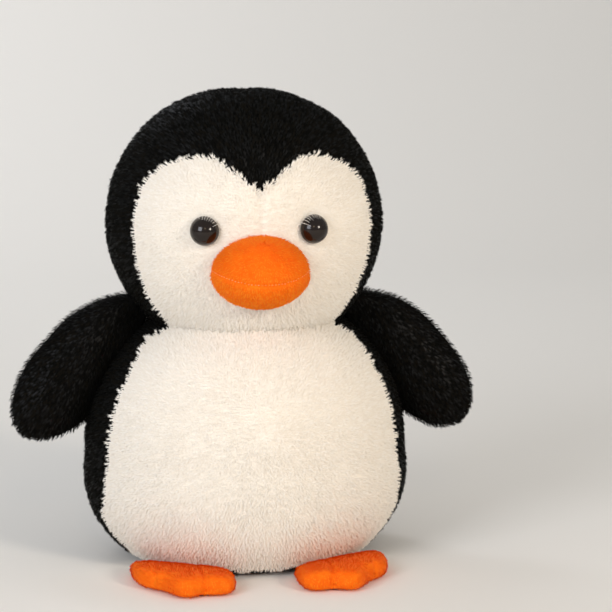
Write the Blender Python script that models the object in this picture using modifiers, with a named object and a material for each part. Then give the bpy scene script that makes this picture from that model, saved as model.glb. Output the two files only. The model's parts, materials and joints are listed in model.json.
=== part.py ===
"""Plush penguin, sewn from panels and stuffed: covers, stuffing, flippers, feet, beak and safety eyes.

The penguin faces -Y and stands on z = 0, its own left is +X, and every length is in metres.
"""

import math
from dataclasses import dataclass

import bmesh
import bpy
from mathutils import Matrix, Vector

# Overall sizes
TOTAL_HEIGHT = 0.300
HEAD_WIDTH = 0.173
HEAD_FRONT = 0.076  # depths are measured from the upright axis
HEAD_BACK = 0.076
HEAD_MIDDLE = 0.2165  # height of the head's widest ring
BODY_WIDTH = 0.207
BODY_FRONT = 0.086
BODY_BACK = 0.080
BODY_MIDDLE = 0.070  # height of the body's widest ring
NECK_HEIGHT = 0.154
NECK_WIDTH = 0.122
NECK_FRONT = 0.062
NECK_BACK = 0.050
BASE_WIDTH = 0.134
BASE_FRONT = 0.064
BASE_BACK = 0.052
BASE_SEAM_HEIGHT = 0.007

# Cloth and fits
PLUSH = 0.005  # backing cloth and pile together
VELOUR = 0.0022  # beak and foot cloth
GAP = 0.0003  # between neighbouring pieces
FULLNESS = 2.15  # 2 gives ellipses, more gives fuller profiles

# The cream panels: shares of the half width, and of the height above (+) or below (-) the widest ring
NECK_MARK = 0.054  # half width of the cream where the panels meet at the neck
FACE_OUTLINE = (
    (0.150, 0.437),
    (0.290, 0.541),
    (0.428, 0.562),
    (0.580, 0.528),
    (0.700, 0.458),
    (0.815, 0.310),
    (0.872, 0.114),
    (0.872, -0.200),
    (0.832, -0.520),
    (0.745, -0.800),
)
FACE_PEAK = 0.300  # the black point between the brows
BELLY_OUTLINE = (
    (0.628, 0.930),
    (0.705, 0.800),
    (0.800, 0.570),
    (0.870, 0.330),
    (0.905, 0.030),
    (0.906, -0.270),
    (0.868, -0.560),
    (0.800, -0.730),
    (0.715, -0.880),
)

# Beak
BEAK_WIDTH = 0.062
BEAK_RISE = 0.024  # from the mouth seam up
BEAK_DROP = 0.020  # from the mouth seam down
BEAK_REACH = 0.030  # ahead of the face
BEAK_ROOT = 0.004  # how far its rim sits back in the face
MOUTH_HEIGHT = 0.190

# Safety eyes
EYE_DIAMETER = 0.018
EYE_DOME = 0.0078
EYE_SPACING = 0.0676
EYE_HEIGHT = 0.2176
EYE_SINK = 0.002  # how deep the eye is pulled into the pile
SHANK_DIAMETER = 0.0046
SHANK_LENGTH = 0.0125
WASHER_DIAMETER = 0.0150
WASHER_THICKNESS = 0.0015
WASHER_SETBACK = 0.0018  # behind the plush, whose inner face is hollow

# Flippers
FLIPPER_TIP = 0.050  # from the flipper's middle to its tip
FLIPPER_ROOT = 0.064  # from its middle to the buried end
FLIPPER_WIDTH = 0.058
FLIPPER_THICKNESS = 0.034
FLIPPER_HANG = math.radians(49)  # its long axis below the horizontal
FLIPPER_OUT = 0.0085  # its middle, outside the body's widest point
FLIPPER_DROP = 0.036  # its middle, under the neck
SHOULDER_OUT = 0.0110  # the top of its seam, outside the neck's edge
SHOULDER_RISE = 0.012  # and above the neck
ARMPIT_DROP = 0.069  # the foot of its seam, under the neck
SEAM_CLEARANCE = 0.00087  # between the body's side and the stuffed edge
SEAM_EDGE = 0.0035  # thickness of that edge
SEAM_TAPER = 0.95  # how fast the flipper thickens away from the seam

# Feet
FOOT_INNER = 0.0185  # from the middle of the body to the foot's inner edge
FOOT_WIDTH = 0.0625
FOOT_REACH = 0.115  # the longest toe, ahead of the upright axis
FOOT_LENGTH = 0.078
FOOT_HEIGHT = 0.0135
FOOT_ROOT_HEIGHT = 0.007
FOOT_RAMP = 0.022  # over which the foot grows to its full height
FOOT_ROOT_SKEW = 0.031  # how much further back the root lies on the outer side
# Shares of the foot's width, from its inner edge, and of its length, from the outer end of its root
FOOT_OUTLINE = (
    (0.02, 0.42),
    (0.00, 0.60),
    (0.01, 0.80),
    (0.05, 0.93),
    (0.17, 0.97),
    (0.29, 0.93),
    (0.34, 0.88),
    (0.40, 0.95),
    (0.50, 1.00),
    (0.60, 0.95),
    (0.67, 0.82),
    (0.72, 0.71),
    (0.80, 0.66),
    (0.92, 0.59),
    (0.99, 0.43),
    (1.00, 0.22),
    (0.97, 0.02),
)
# A pillow's levels: share of its height, and share of its outline
PILLOW_LEVELS = ((0.00, 0.90), (0.14, 0.97), (0.45, 1.00), (0.76, 0.94), (0.94, 0.78), (1.00, 0.50))
FOOT_SEAM_SHARE = 0.45

# Smoothness of the meshes
RING_POINTS = 24
RING_ROWS = 12
CURVE_STEPS = 2
SMALL_STEPS = 16
FAR = 0.4  # longer than anything that is cut

BACK_REACH = max(BODY_BACK, HEAD_BACK)
AXIS_Y = (FOOT_REACH - BACK_REACH) / 2  # puts the origin under the middle of the whole penguin
SIDES = (("left", 1), ("right", -1))


def semi_axis(distance, share):
    """The semi-axis whose profile is down to this share of its width at this distance."""
    return distance / (1 - share**FULLNESS) ** (1 / FULLNESS)


@dataclass
class Form:
    """A stuffed form of oval rings on the upright axis; each triple is (side, front, back)."""

    middle: float
    radii: tuple
    above: tuple
    below: tuple

    def radius(self, height, way):
        rise = height - self.middle
        reach = self.above[way] if rise > 0 else self.below[way]
        return self.radii[way] * (1 - min(abs(rise) / reach, 1) ** FULLNESS) ** (1 / FULLNESS)

    def offset(self, distance):
        """The same form with its skin moved out, or in where the distance is negative."""
        triples = (self.radii, self.above, self.below)
        moved = [tuple(size + distance for size in sizes) for sizes in triples]
        return Form(self.middle, *moved)

    def ring(self, height):
        points = []
        for step in range(RING_POINTS):
            turn = math.tau * (step + 0.5) / RING_POINTS
            width = self.radius(height, 0)
            depth = self.radius(height, 1 if math.sin(turn) < 0 else 2)
            points.append(Vector((width * math.cos(turn), depth * math.sin(turn), height)))
        return points

    def front_point(self, x, height):
        share = min(abs(x) / self.radius(height, 0), 1)
        return Vector((x, -self.radius(height, 1) * math.sqrt(1 - share * share), height))

    def front_normal(self, x, height, step=0.0005):
        across = self.front_point(x + step, height) - self.front_point(x - step, height)
        upward = self.front_point(x, height + step) - self.front_point(x, height - step)
        return across.cross(upward).normalized()


def triple(distance, sizes, full_sizes):
    return tuple(semi_axis(distance, size / full) for size, full in zip(sizes, full_sizes))


NECK = (NECK_WIDTH / 2, NECK_FRONT, NECK_BACK)
HEAD_RADII = (HEAD_WIDTH / 2, HEAD_FRONT, HEAD_BACK)
BODY_RADII = (BODY_WIDTH / 2, BODY_FRONT, BODY_BACK)
HEAD = Form(
    HEAD_MIDDLE,
    HEAD_RADII,
    (TOTAL_HEIGHT - HEAD_MIDDLE,) * 3,
    triple(HEAD_MIDDLE - NECK_HEIGHT, NECK, HEAD_RADII),
)
BODY = Form(
    BODY_MIDDLE,
    BODY_RADII,
    triple(NECK_HEIGHT - BODY_MIDDLE, NECK, BODY_RADII),
    triple(BODY_MIDDLE, (BASE_WIDTH / 2, BASE_FRONT, BASE_BACK), BODY_RADII),
)


# ---------------------------------------------------------------- scene and materials


def clear_scene():
    for old in list(bpy.data.objects):
        bpy.data.objects.remove(old, do_unlink=True)


def collection(name):
    group = bpy.data.collections.new(name)
    bpy.context.scene.collection.children.link(group)
    return group


def make_material(name, colour, roughness):
    made = bpy.data.materials.new(name)
    made.use_nodes = True
    shader = made.node_tree.nodes["Principled BSDF"]
    shader.inputs["Base Color"].default_value = (*colour, 1)
    shader.inputs["Roughness"].default_value = roughness
    shader.inputs["Metallic"].default_value = 0.0
    return made


clear_scene()
PARTS = collection("plush_penguin")
CUTTERS = collection("cutters")
BLACK_PLUSH = make_material("black_plush", (0.013, 0.011, 0.010), 0.95)
CREAM_PLUSH = make_material("cream_plush", (0.86, 0.78, 0.66), 0.95)
ORANGE_VELOUR = make_material("orange_velour", (0.90, 0.20, 0.02), 0.85)
WADDING = make_material("polyester_wadding", (0.85, 0.85, 0.84), 1.0)
EYE_PLASTIC = make_material("eye_plastic", (0.010, 0.007, 0.006), 0.12)
WASHER_PLASTIC = make_material("washer_plastic", (0.72, 0.72, 0.70), 0.45)


def make_frame(name, place, parent=None):
    """An empty that a group of pieces hangs on, so that it turns about one point."""
    frame = bpy.data.objects.new(name, None)
    PARTS.objects.link(frame)
    frame.parent = parent
    frame.location = place - (parent_place(parent) if parent else Vector())
    return frame


def parent_place(frame):
    return frame.location + (parent_place(frame.parent) if frame.parent else Vector())


TOY = make_frame("penguin_axis", Vector((0, AXIS_Y, 0)))


def shade(mesh):
    mesh.shade_smooth()
    mesh.set_sharp_from_angle(angle=math.radians(40))


def add_piece(name, mesh, material, frame):
    """A finished piece: its mesh is drawn about the upright axis, and its origin goes on its frame."""
    piece = bpy.data.objects.new(name, mesh)
    PARTS.objects.link(piece)
    mesh.transform(Matrix.Translation(parent_place(TOY) - parent_place(frame)))
    shade(mesh)
    mesh.materials.clear()
    mesh.materials.append(material)
    piece.parent = frame
    return piece


def add_cutter(name, mesh):
    tool = bpy.data.objects.new(name, mesh)
    CUTTERS.objects.link(tool)
    tool.parent = TOY
    tool.hide_render = True
    tool.display_type = "WIRE"
    return tool


def combine(piece, operation, *tools):
    for tool in tools:
        step = piece.modifiers.new(tool.name, "BOOLEAN")
        step.operation = operation
        step.solver = "EXACT"
        step.object = tool


def mesh_from(bm, name):
    """The finished mesh, facing out; fixed diagonals keep a lining's facets parallel to its cover's."""
    bent = [face for face in bm.faces if len(face.verts) == 4]
    bmesh.ops.triangulate(bm, faces=bent, quad_method="FIXED")
    bmesh.ops.recalc_face_normals(bm, faces=bm.faces)
    if bm.calc_volume(signed=True) < 0:
        bmesh.ops.reverse_faces(bm, faces=bm.faces)
    mesh = bpy.data.meshes.new(name)
    bm.to_mesh(mesh)
    bm.free()
    return mesh


# ---------------------------------------------------------------- shapes


def loft(name, rings, fan_caps=False):
    """A closed skin through rings with the same number of points; a cap that isn't flat is a fan."""
    bm = bmesh.new()
    loops = []
    for ring in rings:
        corners = [bm.verts.new(point) for point in ring]
        loops.append([bm.edges.new(pair) for pair in zip(corners, corners[1:] + corners[:1])])
    for lower, upper in zip(loops, loops[1:]):
        bmesh.ops.bridge_loops(bm, edges=lower + upper)
    caps = bmesh.ops.holes_fill(bm, edges=loops[0] + loops[-1], sides=0)["faces"]
    if fan_caps:
        bmesh.ops.poke(bm, faces=caps)
    return mesh_from(bm, name)


def form_mesh(name, form, low, high, run_on=None):
    """The form between two heights, with rings drawn together towards both ends.

    run_on adds a ring past an end, so that a cutter clears the open neck with the same facets.
    """
    heights = []
    for row in range(RING_ROWS):
        share = (1 - math.cos(math.pi * row / (RING_ROWS - 1))) / 2
        heights.append(low + (high - low) * share)
    if run_on is not None:
        heights = sorted([*heights, run_on])
    return loft(name, [form.ring(height) for height in heights])


def box_mesh(name, low, high):
    bm = bmesh.new()
    bmesh.ops.create_cube(bm, size=1)
    middle = (Vector(low) + Vector(high)) / 2
    bmesh.ops.scale(bm, vec=Vector(high) - Vector(low), verts=bm.verts)
    bmesh.ops.translate(bm, vec=middle, verts=bm.verts)
    return mesh_from(bm, name)


def box_cutter(name, low=(-FAR, -FAR, -FAR), high=(FAR, FAR, FAR)):
    return add_cutter(name, box_mesh(name, low, high))


def prism_mesh(name, outline, corners, front, back):
    """A front-view outline of (x, height) points, smooth except at its corners, pushed through in Y."""
    curve = bpy.data.curves.new(name, "CURVE")
    curve.dimensions = "2D"
    curve.fill_mode = "BOTH"
    curve.extrude = (back - front) / 2
    curve.resolution_u = CURVE_STEPS
    spline = curve.splines.new("BEZIER")
    spline.use_cyclic_u = True
    spline.bezier_points.add(len(outline) - 1)
    for number, (point, (x, height)) in enumerate(zip(spline.bezier_points, outline)):
        point.co = (x, height, 0)
        kind = "VECTOR" if number in corners else "AUTO"
        point.handle_left_type = kind
        point.handle_right_type = kind
    guide = bpy.data.objects.new(name, curve)
    CUTTERS.objects.link(guide)
    bpy.context.view_layer.update()
    settled = guide.evaluated_get(bpy.context.evaluated_depsgraph_get())
    mesh = bpy.data.meshes.new_from_object(settled)
    upright = Matrix.Translation((0, (front + back) / 2, 0)) @ Matrix.Rotation(math.pi / 2, 4, "X")
    mesh.transform(upright)
    bpy.data.objects.remove(guide, do_unlink=True)
    bm = bmesh.new()
    bm.from_mesh(mesh)
    bmesh.ops.remove_doubles(bm, verts=bm.verts, dist=0.00001)
    return mesh_from(bm, name)


def shrink(outline, distance):
    """The outline, listed clockwise, with each point moved inwards along its own normal."""
    moved = []
    for number, point in enumerate(outline):
        before = Vector(outline[number - 1])
        after = Vector(outline[(number + 1) % len(outline)])
        along = (after - before).normalized()
        moved.append(Vector(point) + Vector((along.y, -along.x)) * distance)
    return moved


def both_sides(half):
    """Closes a half outline, listed from the top down on +X, with its mirror image."""
    mirrored = [(-x, height) for x, height in reversed(half) if x > 0]
    return list(half) + mirrored


def panel_points(form, outline, ends):
    """Turns an outline's shares into metres on the form, between its top and bottom ends."""
    top, bottom = ends
    points = []
    for across, rise in outline:
        span = top - form.middle if rise > 0 else form.middle - bottom
        points.append((across * form.radii[0], form.middle + rise * span))
    return points


def turned_piece(name, profile, closed, material, frame, place):
    """A round piece: its (radius, height) profile runs down its outer side and is screwed about Z."""
    bm = bmesh.new()
    corners = [bm.verts.new((radius, 0, height)) for radius, height in profile]
    ends = corners[1:] + (corners[:1] if closed else [])
    for pair in zip(corners, ends):
        bm.edges.new(pair)
    mesh = bpy.data.meshes.new(name)
    bm.to_mesh(mesh)
    bm.free()
    piece = bpy.data.objects.new(name, mesh)
    PARTS.objects.link(piece)
    mesh.materials.append(material)
    piece.parent = frame
    piece.matrix_local = Matrix.Translation(parent_place(TOY) - parent_place(frame)) @ place
    screw = piece.modifiers.new("turn", "SCREW")
    screw.axis = "Z"
    screw.steps = SMALL_STEPS
    screw.render_steps = SMALL_STEPS
    screw.use_merge_vertices = True
    screw.merge_threshold = 0.00001
    screw.use_smooth_shade = True
    return piece


def arc(centre, radius, start, end, steps):
    """Points of (radius, height) along a round stretch, in degrees from the horizontal."""
    turns = [math.radians(start + (end - start) * step / steps) for step in range(steps + 1)]
    return [(centre[0] + radius * math.cos(turn), centre[1] + radius * math.sin(turn)) for turn in turns]


# ---------------------------------------------------------------- head and body

HEAD_LOW = NECK_HEIGHT + GAP / 2
BODY_HIGH = NECK_HEIGHT - GAP / 2
CROWN = 0.0002  # the last ring is this far under the crown, so that it keeps a width
HEAD_INSIDE_TOP = TOTAL_HEIGHT - PLUSH - CROWN
HEAD_FRAME = make_frame("head_turn_axis", Vector((0, AXIS_Y, NECK_HEIGHT)), TOY)
PANEL_BACK = -0.002  # the cream panels end just ahead of the upright axis
PRISM_END = 0.02  # how far a panel's outline runs on past the seam that ends it

head_half = [
    (0, HEAD_MIDDLE + FACE_PEAK * (TOTAL_HEIGHT - HEAD_MIDDLE)),
    *panel_points(HEAD, FACE_OUTLINE, (TOTAL_HEIGHT, NECK_HEIGHT)),
    (NECK_MARK, NECK_HEIGHT),
    (NECK_MARK, NECK_HEIGHT - PRISM_END),
]
FACE_EDGE = both_sides(head_half)
FACE_CORNERS = (0, len(head_half) - 1, len(head_half))
body_half = [
    (NECK_MARK, NECK_HEIGHT + PRISM_END),
    (NECK_MARK, NECK_HEIGHT),
    *panel_points(BODY, BELLY_OUTLINE, (NECK_HEIGHT, 0)),
    (BASE_WIDTH / 2, -PRISM_END),
]
BELLY_EDGE = both_sides(body_half)
BELLY_CORNERS = (0, len(body_half) - 1, len(body_half), len(BELLY_EDGE) - 1)

head_hollow = add_cutter(
    "head_hollow",
    form_mesh("head_hollow", HEAD.offset(-PLUSH), HEAD_LOW, HEAD_INSIDE_TOP, NECK_HEIGHT - PRISM_END),
)
body_hollow = add_cutter(
    "body_hollow",
    form_mesh("body_hollow", BODY.offset(-PLUSH), PLUSH, BODY_HIGH, NECK_HEIGHT + PRISM_END),
)
head_skin = add_cutter(
    "head_skin",
    form_mesh("head_skin", HEAD.offset(GAP), NECK_HEIGHT, TOTAL_HEIGHT),
)
face_window = add_cutter(
    "face_window", prism_mesh("face_window", FACE_EDGE, FACE_CORNERS, -FAR, PANEL_BACK + GAP)
)
face_blank = add_cutter(
    "face_blank", prism_mesh("face_blank", shrink(FACE_EDGE, GAP), FACE_CORNERS, -FAR, PANEL_BACK)
)
belly_window = add_cutter(
    "belly_window", prism_mesh("belly_window", BELLY_EDGE, BELLY_CORNERS, -FAR, PANEL_BACK + GAP)
)
belly_blank = add_cutter(
    "belly_blank", prism_mesh("belly_blank", shrink(BELLY_EDGE, GAP), BELLY_CORNERS, -FAR, PANEL_BACK)
)
HALVES = {
    "left": box_cutter("left_half", low=(GAP / 2, -FAR, -FAR)),
    "right": box_cutter("right_half", high=(-GAP / 2, FAR, FAR)),
}
above_base = box_cutter("above_base", low=(-FAR, -FAR, BASE_SEAM_HEIGHT + GAP))
below_base_seam = box_cutter("below_base_seam", high=(FAR, FAR, BASE_SEAM_HEIGHT))


def head_blank(name):
    return form_mesh(name, HEAD, HEAD_LOW, TOTAL_HEIGHT - CROWN)


def body_blank(name):
    return form_mesh(name, BODY, 0, BODY_HIGH)


def eye_place(sign):
    """The eye's frame: on the face, with Z straight out of it."""
    x = sign * EYE_SPACING / 2
    turn = Vector((0, 0, 1)).rotation_difference(HEAD.front_normal(x, EYE_HEIGHT))
    return Matrix.Translation(HEAD.front_point(x, EYE_HEIGHT)) @ turn.to_matrix().to_4x4()


def drill(name, radius, top, bottom, place):
    bm = bmesh.new()
    bmesh.ops.create_cone(
        bm, cap_ends=True, segments=SMALL_STEPS, radius1=radius, radius2=radius, depth=top - bottom
    )
    bmesh.ops.translate(bm, vec=(0, 0, (top + bottom) / 2), verts=bm.verts)
    bmesh.ops.transform(bm, matrix=place, verts=bm.verts)
    return add_cutter(name, mesh_from(bm, name))


def make_head():
    pockets = []
    for side, sign in SIDES:
        place = eye_place(sign)
        hole = drill(f"eye_hole_{side}", SHANK_DIAMETER / 2 + GAP, EYE_DIAMETER, -EYE_DIAMETER, place)
        seat = drill(f"eye_seat_{side}", EYE_DIAMETER / 2 + GAP, EYE_DIAMETER, -EYE_SINK, place)
        depth = EYE_SINK + SHANK_LENGTH + GAP
        pocket = drill(f"eye_pocket_{side}", WASHER_DIAMETER / 2 + GAP, EYE_DIAMETER, -depth, place)
        pockets.append(pocket)

        hood = add_piece(f"hood_{side}", head_blank("hood"), BLACK_PLUSH, HEAD_FRAME)
        combine(hood, "INTERSECT", HALVES[side])
        combine(hood, "DIFFERENCE", head_hollow, face_window)
        face = add_piece(f"face_{side}", head_blank("face"), CREAM_PLUSH, HEAD_FRAME)
        combine(face, "INTERSECT", HALVES[side], face_blank)
        combine(face, "DIFFERENCE", head_hollow, seat, hole)

    inside = HEAD.offset(-PLUSH - GAP)
    wadding = form_mesh("head_stuffing", inside, HEAD_LOW, HEAD_INSIDE_TOP - GAP)
    stuffing = add_piece("head_stuffing", wadding, WADDING, HEAD_FRAME)
    combine(stuffing, "DIFFERENCE", *pockets)


def make_body():
    belly = add_piece("belly_cover", body_blank("belly"), CREAM_PLUSH, TOY)
    combine(belly, "INTERSECT", above_base, belly_blank)
    combine(belly, "DIFFERENCE", body_hollow)
    for side, _ in SIDES:
        back = add_piece(f"back_cover_{side}", body_blank("back"), BLACK_PLUSH, TOY)
        combine(back, "INTERSECT", HALVES[side], above_base)
        combine(back, "DIFFERENCE", body_hollow, belly_window)
    base = add_piece("base_cover", body_blank("base"), BLACK_PLUSH, TOY)
    combine(base, "INTERSECT", below_base_seam)
    combine(base, "DIFFERENCE", body_hollow)
    wadding = form_mesh("body_stuffing", BODY.offset(-PLUSH - GAP), PLUSH + GAP, BODY_HIGH)
    add_piece("body_stuffing", wadding, WADDING, TOY)


# ---------------------------------------------------------------- eyes


def make_eyes():
    radius = EYE_DIAMETER / 2
    ball = (radius * radius + EYE_DOME * EYE_DOME) / (2 * EYE_DOME)
    edge = math.degrees(math.acos(radius / ball))
    dome = arc((0, EYE_DOME - ball), ball, 90, edge, 6)
    shank = SHANK_DIAMETER / 2
    eye_profile = [
        *dome,
        (radius, -EYE_SINK + GAP),
        (shank, -EYE_SINK + GAP),
        (shank, -EYE_SINK - SHANK_LENGTH + GAP),
        (0, -EYE_SINK - SHANK_LENGTH + GAP),
    ]
    top = -PLUSH - WASHER_SETBACK
    bore = shank + GAP / 2
    washer_profile = [
        (bore, top),
        (WASHER_DIAMETER / 2, top),
        (WASHER_DIAMETER / 2, top - WASHER_THICKNESS),
        (bore, top - WASHER_THICKNESS),
    ]
    for side, sign in SIDES:
        place = eye_place(sign)
        turned_piece(f"eye_{side}", eye_profile, False, EYE_PLASTIC, HEAD_FRAME, place)
        turned_piece(f"eye_washer_{side}", washer_profile, True, WASHER_PLASTIC, HEAD_FRAME, place)


# ---------------------------------------------------------------- beak


def beak_mesh(name, inset):
    """An egg-shaped beak, fuller above its mouth seam, that runs on into the head."""
    bm = bmesh.new()
    bmesh.ops.create_uvsphere(bm, u_segments=20, v_segments=12, radius=1)
    root = HEAD.front_point(0, MOUTH_HEIGHT)
    for corner in bm.verts:
        rise = (BEAK_RISE if corner.co.z > 0 else BEAK_DROP) - inset
        reach = BEAK_REACH + BEAK_ROOT - inset
        corner.co = Vector(
            (
                corner.co.x * (BEAK_WIDTH / 2 - inset),
                root.y + BEAK_ROOT + corner.co.y * reach,
                MOUTH_HEIGHT + corner.co.z * rise,
            )
        )
    return mesh_from(bm, name)


def make_beak():
    hollow = add_cutter("beak_hollow", beak_mesh("beak_hollow", VELOUR))
    above = box_cutter("above_mouth", low=(-FAR, -FAR, MOUTH_HEIGHT + GAP / 2))
    below = box_cutter("below_mouth", high=(FAR, FAR, MOUTH_HEIGHT - GAP / 2))
    for name, part in (("beak_upper", above), ("beak_lower", below)):
        cover = add_piece(name, beak_mesh(name, 0), ORANGE_VELOUR, HEAD_FRAME)
        combine(cover, "INTERSECT", part)
        combine(cover, "DIFFERENCE", hollow, head_skin)
    stuffing = add_piece("beak_stuffing", beak_mesh("beak_stuffing", VELOUR + GAP), WADDING, HEAD_FRAME)
    combine(stuffing, "DIFFERENCE", head_skin)


# ---------------------------------------------------------------- flippers

FLIPPER_MIDDLE = Vector((BODY_WIDTH / 2 + FLIPPER_OUT, 0, NECK_HEIGHT - FLIPPER_DROP))
SHOULDER = Vector((NECK_WIDTH / 2 + SHOULDER_OUT, 0, NECK_HEIGHT + SHOULDER_RISE))
ARMPIT = Vector((BODY_WIDTH / 2, 0, NECK_HEIGHT - ARMPIT_DROP))
SEAM = (SHOULDER - ARMPIT).normalized()
AWAY = Vector((SEAM.z, 0, -SEAM.x))  # square to the seam, away from the body


def side_bulge(steps=50):
    """How far the body's side stands out past the straight seam."""
    heights = [ARMPIT.z + (NECK_HEIGHT - ARMPIT.z) * step / steps for step in range(steps + 1)]
    points = [Vector((BODY.radius(height, 0), 0, height)) for height in heights]
    return max((point - ARMPIT).dot(AWAY) for point in points)


SEAM_ALLOWANCE = side_bulge() + SEAM_CLEARANCE


def seam_thickness(away):
    """Half the flipper's thickness where it tapers to its seam."""
    return (away - SEAM_ALLOWANCE) * SEAM_TAPER + SEAM_EDGE / 2


def flipper_mesh(name, inset, sign):
    """A stuffed leaf that hangs from the shoulder and thins to a straight edge along its seam."""
    bm = bmesh.new()
    bmesh.ops.create_uvsphere(bm, u_segments=14, v_segments=11, radius=1)
    hang = Matrix.Rotation(math.pi / 2 + FLIPPER_HANG, 3, "Y")
    nearest = SEAM_ALLOWANCE + inset / SEAM_TAPER
    for corner in bm.verts:
        reach = (FLIPPER_TIP if corner.co.z > 0 else FLIPPER_ROOT) - inset
        spot = Vector((corner.co.x * (FLIPPER_WIDTH / 2 - inset), 0, corner.co.z * reach))
        spot = FLIPPER_MIDDLE + hang @ spot
        away = (spot - ARMPIT).dot(AWAY)
        spot += AWAY * max(nearest - away, 0)
        thick = min(FLIPPER_THICKNESS / 2, seam_thickness(max(away, nearest))) - inset
        corner.co = Vector((sign * spot.x, corner.co.y * thick, spot.z))
    return mesh_from(bm, name)


def make_flippers():
    front = box_cutter("flipper_front", high=(FAR, -GAP / 2, FAR))
    rear = box_cutter("flipper_rear", low=(-FAR, GAP / 2, -FAR))
    for side, sign in SIDES:
        place = Vector((sign * ARMPIT.x, AXIS_Y, ARMPIT.z))
        frame = make_frame(f"flipper_{side}_hinge", place, TOY)
        hollow = add_cutter(f"flipper_hollow_{side}", flipper_mesh("flipper_hollow", PLUSH, sign))
        for name, half in (("front", front), ("back", rear)):
            cover = add_piece(
                f"flipper_{side}_{name}", flipper_mesh("flipper", 0, sign), BLACK_PLUSH, frame
            )
            combine(cover, "INTERSECT", half)
            combine(cover, "DIFFERENCE", hollow)
        wadding = flipper_mesh("flipper_stuffing", PLUSH + GAP, sign)
        add_piece(f"flipper_{side}_stuffing", wadding, WADDING, frame)


# ---------------------------------------------------------------- feet

FOOT_ROOT_INNER = Vector((FOOT_INNER, FOOT_LENGTH - FOOT_REACH - FOOT_ROOT_SKEW, FOOT_ROOT_HEIGHT))
FOOT_ROOT_OUTER = Vector((FOOT_INNER + FOOT_WIDTH, FOOT_LENGTH - FOOT_REACH, FOOT_ROOT_HEIGHT))
FOOT_SEAM = (FOOT_ROOT_OUTER - FOOT_ROOT_INNER).normalized()
TOEWARD = Vector((FOOT_SEAM.y, -FOOT_SEAM.x, 0))


def foot_mesh(name, inset, sign):
    """A three-toed pillow that thins towards the seam along its root."""
    length, width = FOOT_LENGTH, FOOT_WIDTH
    outline = [
        Vector((FOOT_INNER + across * width, FOOT_LENGTH - FOOT_REACH - forward * length, 0))
        for across, forward in FOOT_OUTLINE
    ]
    centre = sum(outline, Vector()) / len(outline)
    rings = []
    for share, spread in PILLOW_LEVELS:
        ring = []
        for point in outline:
            arm = point - centre
            spot = centre + arm * (spread - inset / arm.length)
            ahead = (spot - FOOT_ROOT_INNER).dot(TOEWARD)
            ramp = min(max(ahead / FOOT_RAMP, 0), 1)
            top = FOOT_ROOT_HEIGHT + (FOOT_HEIGHT - FOOT_ROOT_HEIGHT) * ramp
            ring.append(Vector((sign * spot.x, spot.y, inset + share * (top - 2 * inset))))
        rings.append(ring)
    return loft(name, rings, fan_caps=True)


def make_feet():
    seam = FOOT_HEIGHT * FOOT_SEAM_SHARE
    over = box_cutter("above_foot_seam", low=(-FAR, -FAR, seam + GAP / 2))
    under = box_cutter("below_foot_seam", high=(FAR, FAR, seam - GAP / 2))
    for side, sign in SIDES:
        root = (FOOT_ROOT_INNER + FOOT_ROOT_OUTER) / 2
        frame = make_frame(f"foot_{side}_hinge", Vector((sign * root.x, AXIS_Y + root.y, root.z)), TOY)
        hollow = add_cutter(f"foot_hollow_{side}", foot_mesh("foot_hollow", VELOUR, sign))
        for name, half in (("top", over), ("sole", under)):
            cover = add_piece(f"foot_{side}_{name}", foot_mesh("foot", 0, sign), ORANGE_VELOUR, frame)
            combine(cover, "INTERSECT", half)
            combine(cover, "DIFFERENCE", hollow)
        wadding = foot_mesh("foot_stuffing", VELOUR + GAP, sign)
        add_piece(f"foot_{side}_stuffing", wadding, WADDING, frame)


make_head()
make_body()
make_eyes()
make_beak()
make_flippers()
make_feet()
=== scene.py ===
"""The looks of a plush penguin: pile cloth over stuffing, velour beak and feet, and plastic eyes."""

import json
import math

import bmesh
import bpy
from mathutils import Matrix, Vector, noise
from mathutils.bvhtree import BVHTree

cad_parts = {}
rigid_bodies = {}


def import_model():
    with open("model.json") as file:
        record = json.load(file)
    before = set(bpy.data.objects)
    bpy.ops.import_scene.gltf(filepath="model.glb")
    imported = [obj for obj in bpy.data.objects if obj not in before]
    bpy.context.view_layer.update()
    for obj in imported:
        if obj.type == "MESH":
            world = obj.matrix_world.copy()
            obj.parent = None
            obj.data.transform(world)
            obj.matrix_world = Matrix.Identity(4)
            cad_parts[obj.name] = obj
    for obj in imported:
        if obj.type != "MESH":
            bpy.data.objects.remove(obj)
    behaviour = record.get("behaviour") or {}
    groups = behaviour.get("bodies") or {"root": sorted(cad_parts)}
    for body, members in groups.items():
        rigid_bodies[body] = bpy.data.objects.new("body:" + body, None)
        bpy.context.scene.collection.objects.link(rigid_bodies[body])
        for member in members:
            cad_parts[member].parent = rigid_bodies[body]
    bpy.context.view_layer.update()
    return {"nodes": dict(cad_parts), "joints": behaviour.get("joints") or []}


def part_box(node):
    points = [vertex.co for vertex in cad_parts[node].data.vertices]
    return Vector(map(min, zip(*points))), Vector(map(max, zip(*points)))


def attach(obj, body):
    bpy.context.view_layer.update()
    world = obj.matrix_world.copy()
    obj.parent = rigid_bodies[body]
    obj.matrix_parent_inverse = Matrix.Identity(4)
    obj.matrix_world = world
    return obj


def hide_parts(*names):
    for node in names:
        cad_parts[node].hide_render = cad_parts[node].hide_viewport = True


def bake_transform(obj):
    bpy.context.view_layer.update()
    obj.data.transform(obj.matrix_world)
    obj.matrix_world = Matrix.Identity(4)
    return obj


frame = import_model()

# ---------------------------------------------------------------- sizes, in metres

NECK_JOINT = next(joint for joint in frame["joints"] if joint["name"] == "head_turn")
AXIS_Y = NECK_JOINT["pos_m"][1]  # the penguin's upright axis
NECK = NECK_JOINT["pos_m"][2]
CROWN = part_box("hood_left")[1].z
FULLNESS = 2.15

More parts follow.
